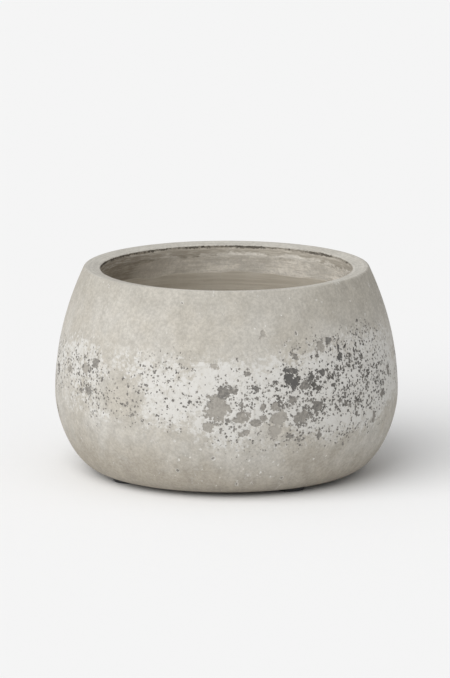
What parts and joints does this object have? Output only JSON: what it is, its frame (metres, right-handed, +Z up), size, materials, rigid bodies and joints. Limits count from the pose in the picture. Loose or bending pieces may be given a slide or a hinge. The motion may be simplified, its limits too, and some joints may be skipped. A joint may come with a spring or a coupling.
{
  "type": "planter bowl",
  "caption": "Round-bellied cast concrete planter bowl with a flat rim that slopes inwards, a sealed cavity and rubber pads glued underneath.",
  "frame": {"origin": "on the ground, on the bowl's axis of revolution", "axes": "+Z up along the axis, -Y towards the front, +X to the right"},
  "size_m": [0.3, 0.3, 0.18],
  "materials": {
    "concrete": "matt cast concrete, mottled, pitted and lime-bloomed round the belly",
    "sealer": "brushed matt water seal",
    "pad_rubber": "black, slightly glossy",
    "pad_glue": "translucent cream adhesive"
  },
  "bodies": {
    "root": {"cast_bowl": "concrete", "sealer_coat": "sealer", "foot_pad_front_right": "pad_rubber", "foot_pad_back_right": "pad_rubber", "foot_pad_back_left": "pad_rubber", "foot_pad_front_left": "pad_rubber", "glue_disc_front_right": "pad_glue", "glue_disc_back_right": "pad_glue", "glue_disc_back_left": "pad_glue", "glue_disc_front_left": "pad_glue"}
  },
  "joints": []
}
